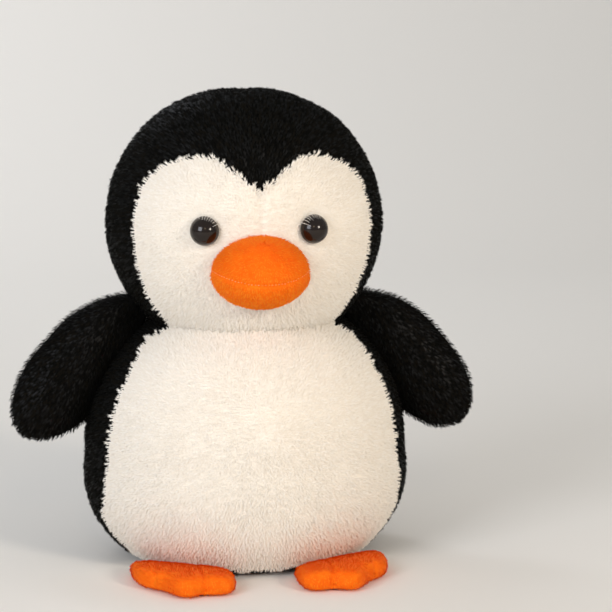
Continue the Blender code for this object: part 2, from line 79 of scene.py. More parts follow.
HEAD_MIDDLE, BODY_MIDDLE = 0.2165, 0.070  # heights of the widest rings
HEAD_RADII = (0.0865, 0.076, 0.076)  # side, front, back
BODY_RADII = (0.1035, 0.086, 0.080)
NECK_RADII = (0.061, 0.062, 0.050)
BASE_RADII = (0.067, 0.064, 0.052)

PILE = 0.0010  # how deep the skin lies under its CAD cover's outer side
PILE_LENGTH = 0.0042
CREAM_SPACING, BLACK_SPACING = 0.00090, 0.00112  # between tufts, coarser than real pile so that they show
BORDER = 0.006  # near a panel's edge the pile leans out over its neighbour
SEAM_TURN = 0.0042  # the cream cloth is turned in at its seams by this much
BACK_SEAM_DEPTH, BACK_SEAM_WIDTH = 0.0012, 0.0024
PARTING = 0.0018  # the pile is shorter this near to the back seam
SETTLED = 0.0058  # the stuffing sinks, so the body is this much fuller low down
SKIN_LOWEST, PILE_LOWEST, SOLE_LOWEST = 0.0006, 0.0003, 0.0005  # nothing reaches under the floor
FACE_MIDDLE, BELLY_MIDDLE = 0.205, 0.085  # heights that the pile grows out from
CHEEK_HEIGHT, CHEEK_REACH, CHEEK_FULLNESS = 0.214, 0.028, 0.020

EYE_RADIUS, EYE_DOME, EYE_SINK = 0.009, 0.0078, 0.002
EYE_BALL = (EYE_RADIUS**2 + EYE_DOME**2) / (2 * EYE_DOME)  # the radius of the ball that the dome is cut from
EYE_SPACING, EYE_HEIGHT = 0.0676, 0.2176
EYE_PULL, EYE_HOLLOW = 0.0022, 0.014  # the washer draws the cloth in by this, over this reach
FACE_SEAM_DEPTH, FACE_SEAM_WIDTH = 0.0012, 0.0025
PEAK_TIP = 0.2416  # the face's middle seam ends here, under the black peak
BEAK_WIDTH, BEAK_RISE, BEAK_DROP, BEAK_REACH, BEAK_ROOT = 0.062, 0.0252, 0.0204, 0.030, 0.004
MOUTH = 0.190
MOUTH_DIP, MOUTH_SMILE = 0.0022, 0.0065  # the mouth seam sags in the middle and rises to its corners
DIMPLE, DIMPLE_DEPTH = 0.2545, 0.0038  # where the peak's seams are gathered

FLIPPER_MIDDLE = Vector((0.1120, 0, 0.118))
FLIPPER_HALF_WIDTH, FLIPPER_TIP, FLIPPER_ROOT, FLIPPER_HALF_THICKNESS = 0.029, 0.050, 0.064, 0.017
FLIPPER_HANG = math.radians(49)
SHOULDER = Vector((0.072, 0, 0.166))
ARMPIT = Vector((0.1035, 0, 0.085))

FOOT_INNER, FOOT_WIDTH, FOOT_REACH, FOOT_LENGTH = 0.0185, 0.0625, 0.115, 0.078
FOOT_HEIGHT, FOOT_ROOT_HEIGHT, FOOT_RAMP, FOOT_SKEW = 0.0135, 0.007, 0.022, 0.031
FOOT_OUTLINE = (
    (0.02, 0.42), (0.00, 0.60), (0.00, 0.80), (0.03, 0.92), (0.10, 0.955), (0.20, 0.96), (0.29, 0.945),
    (0.36, 0.94), (0.42, 0.975), (0.50, 1.00), (0.58, 0.985), (0.65, 0.91), (0.71, 0.81), (0.78, 0.735),
    (0.87, 0.68), (0.95, 0.60), (1.00, 0.45), (1.00, 0.22), (0.97, 0.02),
)
SIDES = (("left", 1), ("right", -1))


def hump(*shares):
    """1 in the middle of a soft hump, fading away with each distance's share of the hump's reach."""
    return math.exp(-sum(share**2 for share in shares))


# ---------------------------------------------------------------- materials


def linear(colour):
    """An sRGB hex colour as the linear colour that a shader takes."""
    parts = [int(colour[i : i + 2], 16) / 255 for i in (1, 3, 5)]
    return (*(c / 12.92 if c <= 0.04045 else ((c + 0.055) / 1.055) ** 2.4 for c in parts), 1)


def add_node(tree, kind, inputs=None, **settings):
    """A node with its settings, and its inputs set or linked."""
    made = tree.nodes.new(kind)
    for name, value in settings.items():
        setattr(made, name, value)
    for name, value in (inputs or {}).items():
        if isinstance(value, bpy.types.NodeSocket):
            tree.links.new(value, made.inputs[name])
        else:
            made.inputs[name].default_value = value
    return made


def new_material(name, **fixed):
    """A Principled material with the sockets that are the same all over it, and its tree and shader."""
    made = bpy.data.materials.new(name)
    made.use_nodes = True
    shader = made.node_tree.nodes["Principled BSDF"]
    for key, value in fixed.items():
        shader.inputs[key.replace("_", " ")].default_value = value
    return made, made.node_tree, shader


BACKING_BUMP = 0.0015  # metres; the knit is finer, and is drawn this coarse so that it shows
BACKING_SHADE = 60.0  # patches of shade about 17 mm across
VELOUR_NAP = 0.0008  # metres; the nap is finer, and is drawn this coarse so that it shows
VELOUR_SHADE = 110.0  # patches about 9 mm across


def pile_backing(name, dark, light, sheen):
    """Knitted polyester backing under pile: quite matt, with soft bumps and slow changes of shade."""
    made, tree, shader = new_material(
        name, Roughness=1.0, IOR=1.2, Sheen_Weight=sheen, Sheen_Roughness=0.5
    )
    place = add_node(tree, "ShaderNodeTexCoord").outputs["Object"]
    slow = add_node(tree, "ShaderNodeTexNoise", {"Vector": place, "Scale": BACKING_SHADE, "Detail": 3.0})
    ramp = add_node(tree, "ShaderNodeValToRGB", {"Fac": slow.outputs["Fac"]})
    ramp.color_ramp.elements[0].color = linear(dark)
    ramp.color_ramp.elements[1].color = linear(light)
    tree.links.new(ramp.outputs["Color"], shader.inputs["Base Color"])
    knit = add_node(tree, "ShaderNodeTexNoise", {"Vector": place, "Scale": 1 / BACKING_BUMP, "Detail": 2.0})
    bump = add_node(
        tree, "ShaderNodeBump", {"Height": knit.outputs["Fac"], "Strength": 0.4, "Distance": 0.0006}
    )
    tree.links.new(bump.outputs["Normal"], shader.inputs["Normal"])
    return made


def pile_fibre(name, colour, roughness, sheen, specular=0.3, index=1.54, sheen_colour="#FFFFFF"):
    """Polyester fibres: matt from afar, with a faint sparkle along the glossier ones."""
    return new_material(
        name,
        Base_Color=linear(colour),
        Roughness=roughness,
        IOR=index,
        Specular_IOR_Level=specular,
        Sheen_Weight=sheen,
        Sheen_Roughness=0.4,
        Sheen_Tint=linear(sheen_colour),
    )[0]


def velour(name, dark, light):
    """Brushed polyester velour: a soft matt nap, mottled where it lies different ways."""
    made, tree, shader = new_material(
        name, Roughness=0.85, IOR=1.45, Specular_IOR_Level=0.2, Sheen_Weight=0.35, Sheen_Roughness=0.35
    )
    shader.inputs["Sheen Tint"].default_value = linear("#FFB070")
    place = add_node(tree, "ShaderNodeTexCoord").outputs["Object"]
    lay = add_node(
        tree,
        "ShaderNodeTexNoise",
        {"Vector": place, "Scale": VELOUR_SHADE, "Detail": 4.0, "Roughness": 0.65},
    )
    ramp = add_node(tree, "ShaderNodeValToRGB", {"Fac": lay.outputs["Fac"]})
    ramp.color_ramp.elements[0].position = 0.3
    ramp.color_ramp.elements[0].color = linear(dark)
    ramp.color_ramp.elements[1].position = 0.7
    ramp.color_ramp.elements[1].color = linear(light)
    tree.links.new(ramp.outputs["Color"], shader.inputs["Base Color"])
    nap = add_node(tree, "ShaderNodeTexNoise", {"Vector": place, "Scale": 1 / VELOUR_NAP, "Detail": 2.0})
    bump = add_node(
        tree, "ShaderNodeBump", {"Height": nap.outputs["Fac"], "Strength": 0.35, "Distance": 0.0003}
    )
    tree.links.new(bump.outputs["Normal"], shader.inputs["Normal"])
    return made


CREAM_BACKING = pile_backing("knitted_backing_cream", "#F1E8DA", "#F7F0E4", 0.1)
BLACK_BACKING = pile_backing("knitted_backing_black", "#080807", "#0E0D0B", 0.0)
# The pile's fibres shade one another, so each shows less shine than a lone polyester thread (IOR 1.54).
CREAM_PILE = [
    pile_fibre("polyester_pile_cream", "#F8F1E5", 0.85, 0.1, 0.1, 1.3),
    pile_fibre("polyester_pile_ivory", "#FAF4EA", 0.85, 0.1, 0.1, 1.3),
    pile_fibre("polyester_pile_sand", "#F5EDE0", 0.85, 0.1, 0.1, 1.3),
]
BLACK_PILE = [
    pile_fibre("polyester_pile_black", "#090907", 0.8, 0.0, 0.2, 1.2),
    pile_fibre("polyester_pile_brown_black", "#12100C", 0.8, 0.0, 0.2, 1.2),
    pile_fibre("polyester_pile_jet", "#0B0B09", 0.7, 0.0, 0.3, 1.25),
    pile_fibre("polyester_pile_glossy_black", "#0B0B0A", 0.45, 0.0, 0.2, 1.4),
]
ORANGE_VELOUR = velour("brushed_velour_orange", "#F66606", "#FF7C0E")
ORANGE_NAP = [
    pile_fibre("velour_nap_orange", "#FF760A", 0.85, 0.6, 0.15, 1.4, "#FF8A20"),
    pile_fibre("velour_nap_light_orange", "#FF8A1E", 0.85, 0.6, 0.15, 1.4, "#FF9A30"),
]
# Spun polyester thread is paler than the velour that it joins, so the stitches show as light dashes.
SEWING_THREAD = pile_fibre("polyester_thread_light_orange", "#FFB273", 0.5, 0.2, 0.5)
# Polished acrylic: a glassy brown-black that mirrors the lights as soft spots.
EYE_PLASTIC = new_material(
    "polished_acrylic_black", Base_Color=linear("#1C130D"), Roughness=0.15, IOR=1.42
)[0]
# Moulded polythene: waxy, off-white and half matt.
WASHER_PLASTIC = new_material(
    "moulded_polythene_white", Base_Color=linear("#D8D6D0"), Roughness=0.45, IOR=1.51
)[0]
# Emulsion paint: plain, pale and matt.
FLOOR_PAINT = new_material("matt_studio_floor", Base_Color=linear("#F1EDE6"), Roughness=0.8)[0]


# ---------------------------------------------------------------- stuffed forms


def semi_axis(distance, share):
    """The semi-axis whose profile is down to this share of its width at this distance."""
    return distance / (1 - share**FULLNESS) ** (1 / FULLNESS)


def semi_axes(distance, sizes, full_sizes):
    return tuple(semi_axis(distance, size / full) for size, full in zip(sizes, full_sizes))


HEAD_ABOVE = (CROWN - HEAD_MIDDLE,) * 3
HEAD_BELOW = semi_axes(HEAD_MIDDLE - NECK, NECK_RADII, HEAD_RADII)
BODY_ABOVE = semi_axes(NECK - BODY_MIDDLE, NECK_RADII, BODY_RADII)
BODY_BELOW = semi_axes(BODY_MIDDLE, BASE_RADII, BODY_RADII)
HEAD = (HEAD_MIDDLE, HEAD_RADII, HEAD_ABOVE, HEAD_BELOW)
BODY = (BODY_MIDDLE, BODY_RADII, BODY_ABOVE, BODY_BELOW)


def radius(form, height, way, inset=0.0):
    """How far a form's skin is from its axis at a height: to the side (0), the front (1) or the back (2)."""
    middle, radii, above, below = form
    rise = height - middle
    reach = (above if rise > 0 else below)[way] - inset
    return (radii[way] - inset) * (1 - min(abs(rise) / reach, 1) ** FULLNESS) ** (1 / FULLNESS)


def front_point(form, x, height):
    share = min(abs(x) / radius(form, height, 0), 1)
    return Vector((x, AXIS_Y - radius(form, height, 1) * math.sqrt(1 - share * share), height))


CAP_START = 0.97  # the ball's height at which a flat cap begins


def stuffed_form(form, low, high, inset, flat_low, flat_high):
    """A ball drawn out to a form of oval rings, with a flat cap at either end where one is asked for."""
    bm = bmesh.new()
    bmesh.ops.create_uvsphere(bm, u_segments=72, v_segments=48, radius=1)
    bottom = -CAP_START if flat_low else -1
    top = CAP_START if flat_high else 1
    start, end = math.asin(bottom), math.asin(top)
    for corner in bm.verts:
        level = min(max(corner.co.z, bottom), top)
        share = (math.asin(level) - start) / (end - start)
        height = low + (high - low) * (1 - math.cos(math.pi * share)) / 2
        across = math.hypot(corner.co.x, corner.co.y)
        cap = across / math.sqrt(1 - level * level) if abs(level) < 1 else 0
        turn = math.atan2(corner.co.y, corner.co.x)
        depth = radius(form, height, 1 if turn < 0 else 2, inset)
        side = radius(form, height, 0, inset)
        corner.co = Vector((side * cap * math.cos(turn), AXIS_Y + depth * cap * math.sin(turn), height))
    return bm


def new_piece(name, bm, *materials):
    bmesh.ops.recalc_face_normals(bm, faces=bm.faces)
    mesh = bpy.data.meshes.new(name)
    bm.to_mesh(mesh)
    bm.free()
    mesh.shade_smooth()
    for material in materials:
        mesh.materials.append(material)
    piece = bpy.data.objects.new(name, mesh)
    bpy.context.scene.collection.objects.link(piece)
    return piece


def settled_mesh(piece):
    """The piece's mesh with its modifiers applied."""
    graph = bpy.context.evaluated_depsgraph_get()
    return bpy.data.meshes.new_from_object(piece.evaluated_get(graph))


def apply_modifiers(piece):
    mesh = settled_mesh(piece)
    piece.modifiers.clear()
    piece.data = mesh


CLOTH_FRAMES = 20
STUFFING_PRESSURE = 4.0


def stuff(piece, voxel, held, most):
    """Fills a cover: the cloth swells under pressure, held where it is sewn down, by at most this much."""
    remesh = piece.modifiers.new("even_cloth", "REMESH")
    remesh.mode = "VOXEL"
    remesh.voxel_size = voxel
    remesh.use_smooth_shade = True
    apply_modifiers(piece)
    before = [point.co.copy() for point in piece.data.vertices]
    sewn = piece.vertex_groups.new(name="sewn")
    sewn.add([number for number, place in enumerate(before) if held(place)], 1.0, "REPLACE")
    cloth = piece.modifiers.new("stuffing", "CLOTH")
    cloth.settings.quality = 4
    cloth.settings.mass = 0.15
    cloth.settings.use_pressure = True
    cloth.settings.uniform_pressure_force = STUFFING_PRESSURE
    cloth.settings.tension_stiffness = 12
    cloth.settings.compression_stiffness = 12
    cloth.settings.bending_stiffness = 1.5
    cloth.settings.effector_weights.gravity = 0
    cloth.settings.vertex_group_mass = "sewn"
    cloth.point_cache.frame_start = 1
    cloth.point_cache.frame_end = CLOTH_FRAMES
    for step in range(1, CLOTH_FRAMES + 1):
        bpy.context.scene.frame_set(step)
    swollen = settled_mesh(piece)
    piece.modifiers.clear()
    for point, old, new in zip(piece.data.vertices, before, swollen.vertices):
        move = new.co - old
        point.co = old + move * min(1, most / max(move.length, 1e-9))
    piece.vertex_groups.clear()
    bpy.data.meshes.remove(swollen)
    bpy.context.scene.frame_set(1)
    finer = piece.modifiers.new("finer", "SUBSURF")
    finer.levels = 1
    finer.render_levels = 1
    apply_modifiers(piece)
    piece.data.shade_smooth()


def lumps(piece, size, depth, seed):
    """Gentle unevenness, as loose stuffing leaves under a cover."""
    offset = Vector((seed, seed * 1.7, -seed))
    moves = [point.normal * depth * noise.noise(point.co / size + offset) for point in piece.data.vertices]
    for point, move in zip(piece.data.vertices, moves):
        point.co += move


# ---------------------------------------------------------------- pile


def tuft(name, material, blades, length, width, spread, seed):
    """A small tuft: a few curved, tapered blades from one root, standing along +Z and facing +Y."""
    bm = bmesh.new()
    for number in range(blades):
        lean = (number + 0.5) / blades - 0.5
        wobble = noise.noise(Vector((seed, number * 3.1, 0.5)))
        reach = length * (0.86 + 0.28 * abs(wobble))
        foot = bm.verts.new((-width / 2 + lean * width, 0, 0))
        bmesh.ops.extrude_vert_indiv(bm, verts=[foot])
        bm.verts.ensure_lookup_table()
        side = bm.verts[-1]
        side.co = foot.co + Vector((width, 0, 0))
        edge = foot.link_edges[0]
        raised = bmesh.ops.extrude_edge_only(bm, edges=[edge])["geom"]
        top = [part for part in raised if isinstance(part, bmesh.types.BMVert)]
        for corner in top:
            away = 1 if corner.co.x > foot.co.x + width / 2 else -1
            corner.co = Vector(
                (lean * spread * 0.5 + away * width * 0.36, reach * (0.05 + 0.05 * wobble), reach * 0.55)
            )
        edge = next(e for e in bm.edges if all(v in top for v in e.verts))
        raised = bmesh.ops.extrude_edge_only(bm, edges=[edge])["geom"]
        tip = [part for part in raised if isinstance(part, bmesh.types.BMVert)]
        end = Vector((lean * spread, -reach * (0.08 + 0.1 * wobble), reach))
        for corner in tip:
            corner.co = end
    bmesh.ops.remove_doubles(bm, verts=bm.verts, dist=1e-6)
    mesh = bpy.data.meshes.new(name)
    bm.to_mesh(mesh)
    bm.free()
    mesh.shade_smooth()
    mesh.materials.append(material)
    return bpy.data.objects.new(name, mesh)


def tuft_set(name, materials, **sizes):
    """A collection of tufts to pick from, one for each shade and shape."""
    kit = bpy.data.collections.new(name)
    for number, material in enumerate(materials):
        kit.objects.link(tuft(f"{name}_{number}", material, seed=number + 1.3, **sizes))
    return kit


CLOTH_NORMAL_WEIGHT = 3.5  # against 1 for a blade's own: pile scatters light much as its cloth would
SHORTEST, LONGEST = 0.72, 1.18  # tufts, as shares of the pile's length
TUFT_COVER = 0.9  # tufts asked for in a square of one spacing


def pile_group(name, kit, spacing, jitter, seed):
    """Plants tufts over a cover: each stands between the cloth's normal and its comb direction."""
    tree = bpy.data.node_groups.new(name, "GeometryNodeTree")
    tree.interface.new_socket("Geometry", in_out="INPUT", socket_type="NodeSocketGeometry")
    tree.interface.new_socket("Geometry", in_out="OUTPUT", socket_type="NodeSocketGeometry")
    cover = add_node(tree, "NodeGroupInput").outputs["Geometry"]
    thick = add_node(tree, "GeometryNodeInputNamedAttribute", {"Name": "growth"}, data_type="FLOAT")
    comb = add_node(tree, "GeometryNodeInputNamedAttribute", {"Name": "comb"}, data_type="FLOAT_VECTOR")
    long = add_node(tree, "GeometryNodeInputNamedAttribute", {"Name": "pile"}, data_type="FLOAT")
    planted = add_node(
        tree,
        "GeometryNodeDistributePointsOnFaces",
        {
            "Mesh": cover,
            "Distance Min": spacing,
            "Density Max": TUFT_COVER / spacing**2,
            "Density Factor": thick.outputs[0],
            "Seed": seed,
        },
        distribute_method="POISSON",
    )
    stray = add_node(
        tree,
        "FunctionNodeRandomValue",
        {0: (-jitter,) * 3, 1: (jitter,) * 3, "Seed": seed + 1},
        data_type="FLOAT_VECTOR",
    )
    combed = add_node(
        tree, "ShaderNodeVectorMath", {0: comb.outputs[0], 1: stray.outputs[0]}, operation="ADD"
    )
    stand = add_node(
        tree,
        "ShaderNodeVectorMath",
        {0: planted.outputs["Normal"], 1: combed.outputs[0]},
        operation="ADD",
    )
    upright = add_node(
        tree,
        "FunctionNodeAlignRotationToVector",
        {"Vector": stand.outputs[0]},
        axis="Z",
        pivot_axis="AUTO",
    )
    facing = add_node(
        tree,
        "FunctionNodeAlignRotationToVector",
        {"Rotation": upright.outputs[0], "Vector": planted.outputs["Normal"]},
        axis="Y",
        pivot_axis="Z",
    )
    size = add_node(
        tree,
        "FunctionNodeRandomValue",
        {2: SHORTEST, 3: LONGEST, "Seed": seed + 2},
        data_type="FLOAT",
    )
    scale = add_node(
        tree, "ShaderNodeMath", {0: size.outputs[1], 1: long.outputs[0]}, operation="MULTIPLY"
    )
    tufts = add_node(
        tree,
        "GeometryNodeCollectionInfo",
        {"Collection": kit, "Separate Children": True, "Reset Children": True},
    )
    grown = add_node(
        tree,
        "GeometryNodeInstanceOnPoints",
        {
            "Points": planted.outputs["Points"],
            "Instance": tufts.outputs[0],
            "Pick Instance": True,
            "Rotation": facing.outputs[0],
            "Scale": scale.outputs[0],
        },
    )
    kept = add_node(
        tree,
        "GeometryNodeStoreNamedAttribute",
        {"Geometry": grown.outputs[0], "Name": "lie", "Value": planted.outputs["Normal"]},
        data_type="FLOAT_VECTOR",
        domain="INSTANCE",
    )
    real = add_node(tree, "GeometryNodeRealizeInstances", {"Geometry": kept.outputs[0]})
    lie = add_node(tree, "GeometryNodeInputNamedAttribute", {"Name": "lie"}, data_type="FLOAT_VECTOR")
    own = add_node(tree, "GeometryNodeInputNormal")
    softer = add_node(
        tree, "ShaderNodeVectorMath", {0: lie.outputs[0], "Scale": CLOTH_NORMAL_WEIGHT}, operation="SCALE"
    )
    mixed = add_node(
        tree, "ShaderNodeVectorMath", {0: softer.outputs[0], 1: own.outputs[0]}, operation="ADD"
    )
    unit = add_node(tree, "ShaderNodeVectorMath", {0: mixed.outputs[0]}, operation="NORMALIZE")
    shaded = add_node(
        tree,
        "GeometryNodeSetMeshNormal",
        {"Mesh": real.outputs[0], "Custom Normal": unit.outputs[0]},
        mode="FREE",
        domain="POINT",
    )
    clean = add_node(tree, "GeometryNodeRemoveAttribute", {"Geometry": shaded.outputs[0], "Name": "lie"})
    add_node(tree, "NodeGroupOutput", {"Geometry": clean.outputs[0]})
    return tree


def grow_pile(name, patch, kit, spacing, jitter, seed):
    """The pile on a patch of cloth as a piece of its own; none of it reaches under the floor."""
    planter = patch.modifiers.new("pile", "NODES")
    planter.node_group = pile_group(name, kit, spacing, jitter, seed)
    mesh = settled_mesh(patch)
    mesh.name = name
    for point in mesh.vertices:
        if point.co.z < PILE_LOWEST:
            point.co.z = PILE_LOWEST
    pile = bpy.data.objects.new(name, mesh)
    bpy.context.scene.collection.objects.link(pile)
    bpy.data.objects.remove(patch)
    return pile


def cut_patch(name, skin, wanted, field):
    """A copy of the skin's faces that wanted() takes, with field()'s growth, comb and length."""
    bm = bmesh.new()
    bm.from_mesh(skin.data)
    bmesh.ops.delete(bm, geom=[face for face in bm.faces if not wanted(face)], context="FACES")
    growth = bm.verts.layers.float.new("growth")
    comb = bm.verts.layers.float_vector.new("comb")
    length = bm.verts.layers.float.new("pile")
    for corner in bm.verts:
        corner[growth], corner[comb], corner[length] = field(corner.co, corner.normal)
    mesh = bpy.data.meshes.new(name)
    bm.to_mesh(mesh)
    bm.free()
    patch = bpy.data.objects.new(name, mesh)
    bpy.context.scene.collection.objects.link(patch)
    return patch


def surface_of(*nodes):
    """A search tree over some CAD nodes' faces."""
    points, faces = [], []
    for name in nodes:
        mesh = frame["nodes"][name].data
        base = len(points)
        points += [point.co.copy() for point in mesh.vertices]
        faces += [[base + corner for corner in face.vertices] for face in mesh.polygons]
    return BVHTree.FromPolygons(points, faces)


def nearest(surfaces, place):
    """The name of the panel that lies nearest, how far the next one is, and its name."""
    found = sorted((surface.find_nearest(place)[3], name) for name, surface in surfaces.items())
    return found[0][1], found[1][0], found[1][1]


# ---------------------------------------------------------------- head and body

HEAD_PANELS = {
    "hood_left": surface_of("hood_left"),
    "hood_right": surface_of("hood_right"),
    "face": surface_of("face_left", "face_right"),
}
BODY_PANELS = {
    "belly": surface_of("belly_cover"),
    "back_left": surface_of("back_cover_left"),
    "back_right": surface_of("back_cover_right"),
    "base": surface_of("base_cover"),
}
EYES = {side: front_point(HEAD, sign * EYE_SPACING / 2, EYE_HEIGHT) for side, sign in SIDES}

NECK_OVERLAP = 0.006  # the head's and the body's skins run past the neck seam into each other

head_form = stuffed_form(HEAD, NECK - NECK_OVERLAP, CROWN - PILE - 0.001, PILE, True, False)
head = new_piece("head_pad", head_form, CREAM_BACKING, BLACK_BACKING)
stuff(head, voxel=0.005, held=lambda place: place.z < NECK + 0.002, most=0.0012)
lumps(head, size=0.030, depth=0.0007, seed=3.0)
body_form = stuffed_form(BODY, 0.0008, NECK + NECK_OVERLAP, PILE, True, True)
body = new_piece("body_pad", body_form, CREAM_BACKING, BLACK_BACKING)
stuff(body, voxel=0.005, held=lambda place: place.z > NECK - 0.002 or place.z < 0.009, most=0.0012)
lumps(body, size=0.035, depth=0.0009, seed=8.0)
for point in body.data.vertices:
    # The sunken stuffing pushes out more to the sides than to the front, and most near the base.
    out = Vector((point.co.x, (point.co.y - AXIS_Y) * 0.6, 0)).normalized()
    low = max(1 - point.co.z / BODY_MIDDLE, 0)
    spread = min(math.hypot(point.co.x, point.co.y - AXIS_Y) / 0.04, 1)
    point.co += out * SETTLED * spread * math.sin(math.pi / 2 * low / 0.8)
    point.co.z = max(point.co.z, SKIN_LOWEST)
for point in head.data.vertices:
    # The cheeks are a little fuller than the rest.
    point.co.x *= 1 + CHEEK_FULLNESS * hump((point.co.z - CHEEK_HEIGHT) / CHEEK_REACH)
    # The eyes are pulled in by their washers, and the face's middle seam is a shallow crease.
    for eye in EYES.values():
        point.co.y += EYE_PULL * hump((point.co - eye).length / EYE_HOLLOW)
    if point.co.y < AXIS_Y:
        if point.co.z < PEAK_TIP:
            point.co.y += FACE_SEAM_DEPTH * hump(point.co.x / FACE_SEAM_WIDTH)
        point.co.y += DIMPLE_DEPTH * hump(point.co.x / 0.005, (point.co.z - DIMPLE) / 0.003)


def back_seam(place, width):
    """How much of the seam down the middle of the back is felt here, from 0 to 1."""
    return hump(place.x / width) if place.y > AXIS_Y else 0.0


for skin in (head, body):
    for point in skin.data.vertices:
        point.co -= point.normal * BACK_SEAM_DEPTH * back_seam(point.co, BACK_SEAM_WIDTH)


def paint_panels(skin, panels, cream):
    """Gives each face of a skin the cloth of the panel over it, less what the cream's seams turn in."""
    owners = []
    for face in skin.data.polygons:
        owner, edge, neighbour = nearest(panels, face.center)
        turn = SEAM_TURN + 0.003 * max(1 - face.center.z / BODY_MIDDLE, 0)
        if cream == "face":
            # The face's seams take more at its sides than in the middle, and less above its brows.
            high = min(max((face.center.z - 0.232) / 0.014, 0), 1)
            turn = (0.0008 + 0.0050 * min(abs(face.center.x) / 0.06, 1) ** 0.8) * (1 - 0.4 * high)
        if owner == cream and edge < turn and neighbour != "base":
            owner = neighbour
        owners.append(owner)
        face.material_index = 0 if owner == cream else 1
    return owners


head_owners = paint_panels(head, HEAD_PANELS, "face")
body_owners = [
    ("belly_left" if face.center.x > 0 else "belly_right") if owner == "belly" else owner
    for owner, face in zip(paint_panels(body, BODY_PANELS, "belly"), body.data.polygons)
]


def tangent(direction, normal):
    """The part of a direction that lies along the cloth."""
    along = direction - normal * direction.dot(normal)
    return along.normalized() if along.length > 1e-6 else along


def lean_and_length(cream, near):
    """Cream pile is short and stands up, but not at its panel's edge; black pile lies flatter."""
    return (0.6 + 0.3 * near, 0.62 + 0.5 * near) if cream else (1.1, 0.9)


def head_field(owner):
    """How the head's pile grows: out from the face's middle, over its edge, and down the back."""

    def field(place, normal):
        edge = nearest(HEAD_PANELS, place)[1]
        near = max(0.0, 1 - edge / BORDER)
        out = Vector((place.x, 0, place.z - FACE_MIDDLE))
        way = tangent(out + Vector((0, 0.03, -0.035 if owner != "face" else 0)), normal)
        eye_gap = min((place - eye).length for eye in EYES.values())
        beak = math.hypot(place.x / (BEAK_WIDTH / 2), (place.z - MOUTH - 0.002) / 0.022)
        growth = 0.0 if eye_gap < EYE_RADIUS - 0.0005 or (beak < 0.86 and place.y < AXIS_Y) else 1.0
        inner = eye_gap < EYE_RADIUS + 0.002 and abs(place.x) < EYE_SPACING / 2 and place.z > EYE_HEIGHT
        lean, length = lean_and_length(owner == "face", near)
        if owner != "face":
            length -= 0.5 * hump(place.x / 0.006, (place.z - DIMPLE) / 0.004)
            length -= 0.5 * back_seam(place, PARTING)
        return growth, way * lean, length * (1.3 if inner else 0.8 if eye_gap < EYE_HOLLOW else 1.0)

    return field


def body_field(owner):
    """How the body's pile grows: out from the belly's middle, over its edge, and down the back."""

    def field(place, normal):
        edge = nearest(BODY_PANELS, place)[1]
        near = max(0.0, 1 - edge / BORDER)
        cream = owner.startswith("belly")
        out = Vector((place.x, 0, place.z - BELLY_MIDDLE))
        way = tangent(out + Vector((0, 0.04, -0.01 if cream else -0.05)), normal)
        growth = 0.0 if place.z < 0.0025 else 1.0
        lean, length = lean_and_length(cream, near)
        if not cream:
            length -= 0.5 * back_seam(place, PARTING)
        return growth, way * lean, length * (0.6 if place.z < 0.006 else 1.0)

    return field


TUFTS = dict(blades=6, length=PILE_LENGTH, width=0.00038, spread=0.0024)
CREAM_TUFTS = tuft_set("cream_tuft", CREAM_PILE, **TUFTS)
BLACK_TUFTS = tuft_set("black_tuft", BLACK_PILE, **TUFTS)

PILES = {}
for skin, owners, make_field in ((head, head_owners, head_field), (body, body_owners, body_field)):
    for owner in sorted(set(owners) - {"base"}):
        cream = owner.startswith(("face", "belly"))
        patch = cut_patch(f"{owner}_patch", skin, lambda face: owners[face.index] == owner, make_field(owner))
        kit, spacing = (CREAM_TUFTS, CREAM_SPACING) if cream else (BLACK_TUFTS, BLACK_SPACING)
        PILES[owner] = grow_pile(f"{owner}_pile", patch, kit, spacing, jitter=0.35, seed=len(PILES))
        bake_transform(PILES[owner])

for pad, fills in (
    (head, ("hood_left", "hood_right", "face_left", "face_right", "head_stuffing")),
    (body, ("belly_cover", "back_cover_left", "back_cover_right", "base_cover", "body_stuffing")),
):
    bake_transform(pad)
    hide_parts(*fills)


# ---------------------------------------------------------------- flippers

SEAM = (SHOULDER - ARMPIT).normalized()
AWAY = Vector((SEAM.z, 0, -SEAM.x))
HANG = Matrix.Rotation(math.pi / 2 + FLIPPER_HANG, 3, "Y")
TUCK = 0.012  # how far the root's cloth runs on under the cheek and the side
ROOT_SQUARENESS = 2.8  # 2 would be round
ROOT_TAPER, TAPER_END = 0.45, 0.018  # the seam's share of the thickness, and where the full one starts
CHEEK_LINE, CHEEK_LINE_START, CHEEK_LINE_FALL = 0.1685, 0.075, 8.2  # the cheek's underside over the root
CHEEK_LINE_SOFTNESS = 0.0025


def from_seam(place):
    """How far out from its flipper's seam a place is."""
    return (Vector((abs(place.x), 0, place.z)) - ARMPIT).dot(AWAY)


